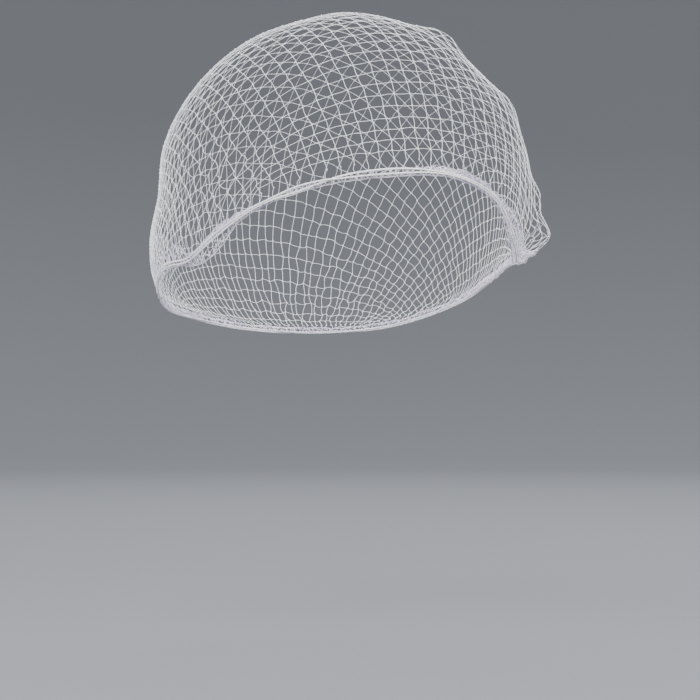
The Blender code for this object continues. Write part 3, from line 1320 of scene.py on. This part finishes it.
@dataclass
class EdgeElastic:
    """The edge's elastic: two covered threads that lie side by side and cross now and then."""

    lift: float = 2.65
    cord_radius: float = 0.37
    # Three plies are twisted into a cord. Each is a little thicker than its share, so that they touch.
    plies: int = 3
    ply_thickness: float = 1.12
    ply_pitch: float = 2.2
    points_each_pitch: int = 7
    line_places: int = 1441
    # How far each cord lies from the middle, up the net for the first and down it for the second.
    spread: SmoothTable = SmoothTable(
        ("apart",),
        (
            # plan angle, apart
            (-180, 0.5),
            (-150, -0.6),
            (-120, 0.6),
            (-94, 0.8),
            (-66, 0.75),
            (-52, 0.8),
            (-42, 0.45),
            (-33, 0.4),
            (-25, 1.1),
            (-18, 0.5),
            (-13, -0.5),
            (-6, -1.0),
            (4, -1.1),
            (13, -0.6),
            (24, -0.45),
            (38, -0.7),
            (50, -0.9),
            (64, -1.2),
            (80, -0.9),
            (96, 0.5),
            (130, -0.7),
        ),
        period=360.0,
    )
    # Where the cords cross, one passes in front: how far, in cord radii, and how near they are then.
    crossing_out: float = 1.15
    crossing_reach: float = 0.45
    # The loops round both cords: their gap to the cords upwards and outwards, lean and stray.
    tie_spacing: float = 4.2
    tie_radius: float = 0.095
    tie_points: int = 10
    tie_gap: tuple[float, float] = (0.15, 0.3)
    tie_lean: float = 0.9
    tie_stray: float = 0.3
    seed: int = 71

    @functools.cached_property
    def middle(self) -> ElasticLine:
        """The line between the cords.

        Returns:
            The line, with a whole number of the plies' pitches in it.
        """
        plan = np.linspace(-180, 180, self.line_places)
        run = run_along(FORM.point(plan, FORM.edge_tilt(plan), self.lift))
        pitches = round(run[-1] / self.ply_pitch)
        at = np.linspace(0, run[-1], pitches * self.points_each_pitch + 1)[:-1]
        plans = np.interp(at, run, plan)
        points = FORM.point(plans, FORM.edge_tilt(plans), self.lift)
        normals = FORM.normal(plans, FORM.edge_tilt(plans))
        along = unit(np.roll(points, -1, axis=0) - np.roll(points, 1, axis=0))
        return ElasticLine(plans, points, normals, np.cross(normals, along), float(run[-1]))

    def cord(self, side: int) -> list[Thread]:
        """One of the cords.

        Args:
            side: 1 for the first cord and -1 for the second.

        Returns:
            Its twisted plies.
        """
        line = self.middle
        apart = self.spread.read(line.plans, "apart")
        out = self.crossing_out * self.cord_radius * np.exp(-((apart / self.crossing_reach) ** 2))
        centre = line.points + line.up * (side * apart)[:, None] + line.normals * (side * out)[:, None]
        ply_radius = self.cord_radius / 2
        plies = []
        for ply in range(self.plies):
            twist = math.tau * (np.arange(len(centre)) / self.points_each_pitch + ply / self.plies)
            offset = line.up * np.cos(twist)[:, None] + line.normals * np.sin(twist)[:, None]
            radii = np.full(len(centre), ply_radius * self.ply_thickness)
            plies.append(Thread(centre + offset * ply_radius, radii, closed=True))
        return plies

    def ties(self) -> list[Thread]:
        """Loops of the net's outer meshes, threaded round both cords.

        Returns:
            The loops.
        """
        line = self.middle
        rng = np.random.default_rng(self.seed)
        count = round(line.length / self.tie_spacing)
        turn = np.linspace(0, math.tau, self.tie_points + 1)[:-1]
        gap_up, gap_out = self.tie_gap
        loops = []
        for place in (np.arange(count) + rng.uniform(-self.tie_stray, self.tie_stray, count)) / count:
            k = round(place * len(line.plans)) % len(line.plans)
            up, normal = line.up[k], line.normals[k]
            high = abs(float(self.spread.read(line.plans[k], "apart"))) + self.cord_radius + gap_up
            lean = rng.uniform(-self.tie_lean, self.tie_lean)
            ring = (
                line.points[k]
                + np.outer(np.cos(turn) * high, up)
                + np.outer(np.sin(turn) * (self.cord_radius + gap_out), normal)
                + np.outer(np.cos(turn) * lean, np.cross(up, normal))
            )
            loops.append(Thread(ring, np.full(len(turn), self.tie_radius), closed=True))
        return loops

    def build(self, cord_material: bpy.types.Material, tie_material: bpy.types.Material) -> None:
        """Makes the two cords and the loops that hold the net on them.

        Args:
            cord_material: The cords' finish.
            tie_material: The loops' finish.
        """
        LOG.info("elastic loop: %.0f mm round", self.middle.length)
        for side, name in ((1, "elastic_cord_one"), (-1, "elastic_cord_two")):
            cord = thread_object(name, self.cord(side))
            place_piece(cord, cord_material, "elastic_thread", "edge_elastic")
        ties = thread_object("elastic_ties", self.ties())
        place_piece(ties, tie_material, "bunched_net", "edge_elastic")


@dataclass
class Studio:
    """A plain pale floor that curves up all round, soft light, and the photograph's camera."""

    # The floor, the cove round it and the wall behind that, in metres.
    floor: float = -0.30
    floor_radius: float = 3.2
    cove: float = 1.2
    cove_steps: int = 12
    wall: float = 2.0
    turn_steps: int = 96
    weld_distance: float = 1e-5
    # The backdrop's matt paper: its two tones, how many patches of them lie in a metre, and its shine.
    paper_light: str = "#6D6F73"
    paper_shade: str = "#6A6C70"
    paper_patches: float = 1.5
    paper_roughness: float = 0.95
    paper_specular: float = 0.1
    # Name, place and size in metres, and power in watts. The lights face the net's middle.
    lights: tuple[tuple[str, tuple[float, float, float], float, float], ...] = (
        ("key_light", (-0.9, -1.5, 1.3), 1.2, 115.0),
        ("fill_light", (1.5, -1.0, 0.5), 1.4, 45.0),
        ("back_light", (0.5, 1.3, 1.5), 1.2, 60.0),
    )
    aim: tuple[float, float, float] = (0, 0, -0.08)
    air: str = "#E6E9EE"
    air_strength: float = 1.1
    # The photograph's camera: its turn, distance and height, its scale at the net, the pixel column that
    # the net's middle falls on, and the sensor's width in millimetres.
    camera_azimuth: float = -12.0
    camera_distance: float = 1.4
    camera_height: float = -0.1608
    pixels_each_mm: float = 2.08
    frame_pixels: float = 700.0
    axis_pixel: float = 343.0
    sensor: float = 36.0

    def build_floor(self) -> None:
        """A floor, cove and wall spun round the object, so that every view has the same backdrop."""
        bm = bmesh.new()
        start = bm.verts.new((0, 0, self.floor))
        profile = [start, bm.verts.new((self.floor_radius - self.cove, 0, self.floor))]
        for k in range(1, self.cove_steps + 1):
            a = math.radians(90 * k / self.cove_steps)
            x = self.floor_radius - self.cove + self.cove * math.sin(a)
            profile.append(bm.verts.new((x, 0, self.floor + self.cove * (1 - math.cos(a)))))
        profile.append(bm.verts.new((self.floor_radius, 0, self.floor + self.wall)))
        edges = [bm.edges.new(pair) for pair in zip(profile, profile[1:])]
        bmesh.ops.spin(
            bm,
            geom=profile + edges,
            cent=(0, 0, 0),
            axis=(0, 0, 1),
            angle=math.tau,
            steps=self.turn_steps,
            use_merge=True,
        )
        bmesh.ops.remove_doubles(bm, verts=bm.verts, dist=self.weld_distance)
        bmesh.ops.recalc_face_normals(bm, faces=bm.faces)
        mesh = bpy.data.meshes.new("studio_floor")
        bm.to_mesh(mesh)
        bm.free()
        mesh.shade_smooth()
        mesh.materials.append(self.paper())
        obj = bpy.data.objects.new("studio_floor", mesh)
        bpy.context.scene.collection.objects.link(obj)

    def paper(self) -> bpy.types.Material:
        """Matt background paper, with a faint unevenness.

        Returns:
            The material.
        """
        material = bpy.data.materials.new("matt_background_paper")
        material.use_nodes = True
        tree = material.node_tree
        shader = tree.nodes["Principled BSDF"]
        shader.inputs["Roughness"].default_value = self.paper_roughness
        shader.inputs["Specular IOR Level"].default_value = self.paper_specular
        place = add_node(tree, "ShaderNodeTexCoord")
        cloud = add_node(
            tree,
            "ShaderNodeTexNoise",
            values={"Scale": self.paper_patches, "Detail": 2.0},
            links={"Vector": (place, "Object")},
        )
        tint = add_node(tree, "ShaderNodeValToRGB", links={"Fac": (cloud, "Fac")})
        low, high = tint.color_ramp.elements
        low.color, high.color = linear(self.paper_shade), linear(self.paper_light)
        tree.links.new(tint.outputs["Color"], shader.inputs["Base Color"])
        return material

    def build_light(self, name: str, place: tuple[float, float, float], size: float, power: float) -> None:
        """One soft square light that faces the net.

        Args:
            name: Its name.
            place: Where it is.
            size: The length of its sides.
            power: Its power.
        """
        light = bpy.data.lights.new(name, "AREA")
        light.size = size
        light.energy = power
        obj = bpy.data.objects.new(name, light)
        obj.location = place
        facing = Vector(self.aim) - Vector(place)
        obj.rotation_euler = facing.to_track_quat("-Z", "Y").to_euler()
        bpy.context.scene.collection.objects.link(obj)

    def build_camera(self) -> None:
        """The photograph's viewpoint: level, a little below the net, and turned towards its left side."""
        data = bpy.data.cameras.new("camera")
        data.sensor_width = self.sensor
        focal_pixels = self.pixels_each_mm * self.camera_distance / MM
        data.lens = focal_pixels / self.frame_pixels * self.sensor
        data.shift_x = (self.frame_pixels / 2 - self.axis_pixel) / self.frame_pixels
        data.clip_start, data.clip_end = 0.05, 50.0
        camera = bpy.data.objects.new("camera", data)
        a = math.radians(self.camera_azimuth)
        back = Vector((math.sin(a), -math.cos(a), 0))
        camera.location = back * self.camera_distance + Vector((0, 0, self.camera_height))
        camera.rotation_euler = (-back).to_track_quat("-Z", "Y").to_euler()
        bpy.context.scene.collection.objects.link(camera)
        bpy.context.scene.camera = camera

    def build(self) -> None:
        """Makes the floor, the lights, the light from all round and the camera."""
        self.build_floor()
        for light in self.lights:
            self.build_light(*light)
        world = bpy.data.worlds.new("studio_air")
        world.use_nodes = True
        background = world.node_tree.nodes["Background"]
        background.inputs["Color"].default_value = linear(self.air)
        background.inputs["Strength"].default_value = self.air_strength
        bpy.context.scene.world = world
        self.build_camera()


def main() -> None:
    """Builds every sub-assembly in order."""
    logging.basicConfig(level=logging.INFO, format="%(message)s")
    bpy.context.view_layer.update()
    net, bunched, elastic = (f.build() for f in (NET_FINISH, BUNCH_FINISH, ELASTIC_FINISH))
    crown = NetCrown()
    crown.build(net)
    BunchedEdge().build(crown, bunched)
    EdgeElastic().build(elastic, bunched)
    Studio().build()


if __name__ == "__main__":
    main()
